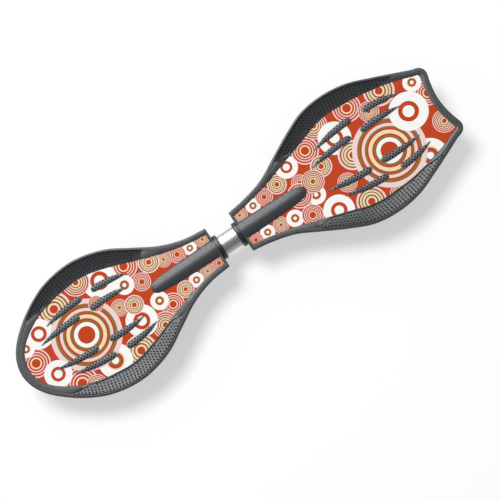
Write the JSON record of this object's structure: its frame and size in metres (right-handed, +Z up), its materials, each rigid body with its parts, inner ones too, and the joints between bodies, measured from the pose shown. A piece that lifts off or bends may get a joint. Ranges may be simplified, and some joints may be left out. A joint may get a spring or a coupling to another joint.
{
  "type": "caster board",
  "caption": "Caster board: two foot decks in line, joined by a sprung torsion tube so that they twist, each on one inclined swivel caster.",
  "frame": {"origin": "on the ground under the middle of the board, where the box's bottom centre lies", "axes": "+X towards the rounded nose deck, +Y towards the left side, +Z up"},
  "size_m": [0.8589, 0.241, 0.1211],
  "materials": {
    "deck_plastic": "fine moulded grain",
    "graphic_print": "printed sheet, satin clear coat",
    "tube_aluminium": "satin anodised",
    "collar_plastic": "black, moulded",
    "nylon": "natural nylon",
    "spring_steel": "oil-tempered wire",
    "black_steel": "black oxide",
    "wheel_urethane": "cast urethane",
    "hub_plastic": "black, moulded",
    "zinc_steel": "zinc plated",
    "bright_steel": "ground steel"
  },
  "bodies": {
    "tail": {"tail_deck": "deck_plastic", "tail_graphic_panel": "graphic_print", "tail_collar": "collar_plastic", "tail_tube_clamp": "deck_plastic", "tail_clamp_screw_1": "black_steel", "tail_clamp_screw_2": "black_steel", "tail_clamp_screw_3": "black_steel", "tail_clamp_screw_4": "black_steel", "tube_lock_bolt": "black_steel", "torsion_tube": "tube_aluminium", "torsion_spring": "spring_steel", "tail_spring_plug": "bright_steel", "tube_retaining_ring": "spring_steel", "rear_caster_plate": "zinc_steel", "rear_plate_screw_1": "black_steel", "rear_plate_screw_2": "black_steel", "rear_plate_screw_3": "black_steel", "rear_plate_screw_4": "black_steel", "rear_kingpin": "bright_steel", "rear_kingpin_nut": "bright_steel", "rear_swivel_bearing": "bright_steel"},
    "nose": {"nose_deck": "deck_plastic", "nose_graphic_panel": "graphic_print", "nose_collar": "collar_plastic", "nose_tube_clamp": "deck_plastic", "nose_clamp_screw_1": "black_steel", "nose_clamp_screw_2": "black_steel", "nose_clamp_screw_3": "black_steel", "nose_clamp_screw_4": "black_steel", "spring_anchor_bolt": "black_steel", "nose_spring_anchor": "bright_steel", "outer_bush": "nylon", "inner_bush": "nylon", "front_caster_plate": "zinc_steel", "front_plate_screw_1": "black_steel", "front_plate_screw_2": "black_steel", "front_plate_screw_3": "black_steel", "front_plate_screw_4": "black_steel", "front_kingpin": "bright_steel", "front_kingpin_nut": "bright_steel", "front_swivel_bearing": "bright_steel"},
    "front_fork": {"front_fork": "zinc_steel", "front_axle": "bright_steel", "front_axle_nut": "bright_steel"},
    "front_wheel": {"front_tyre": "wheel_urethane", "front_hub": "hub_plastic", "front_bearing_left": "bright_steel", "front_bearing_right": "bright_steel", "front_bearing_spacer": "bright_steel"},
    "rear_fork": {"rear_fork": "zinc_steel", "rear_axle": "bright_steel", "rear_axle_nut": "bright_steel"},
    "rear_wheel": {"rear_tyre": "wheel_urethane", "rear_hub": "hub_plastic", "rear_bearing_left": "bright_steel", "rear_bearing_right": "bright_steel", "rear_bearing_spacer": "bright_steel"}
  },
  "joints": [
    {"name": "torsion_twist", "type": "hinge", "parent": "tail", "child": "nose", "pos_m": [0, 0, 0.0925], "axis": [1, 0, 0], "range_deg": [-30, 30], "stiffness_Nm_per_rad": 25, "deforming": ["torsion_spring"]},
    {"name": "front_swivel", "type": "hinge", "parent": "nose", "child": "front_fork", "pos_m": [0.23827, 0, 0.025], "axis": [0.5, 0, 0.866], "continuous": true},
    {"name": "front_wheel_spin", "type": "hinge", "parent": "front_fork", "child": "front_wheel", "pos_m": [0.21575, 0, 0.038], "axis": [0, 1, 0], "continuous": true},
    {"name": "rear_swivel", "type": "hinge", "parent": "tail", "child": "rear_fork", "pos_m": [-0.29147, 0, 0.025], "axis": [0.5, 0, 0.866], "continuous": true},
    {"name": "rear_wheel_spin", "type": "hinge", "parent": "rear_fork", "child": "rear_wheel", "pos_m": [-0.31398, 0, 0.038], "axis": [0, 1, 0], "continuous": true}
  ]
}
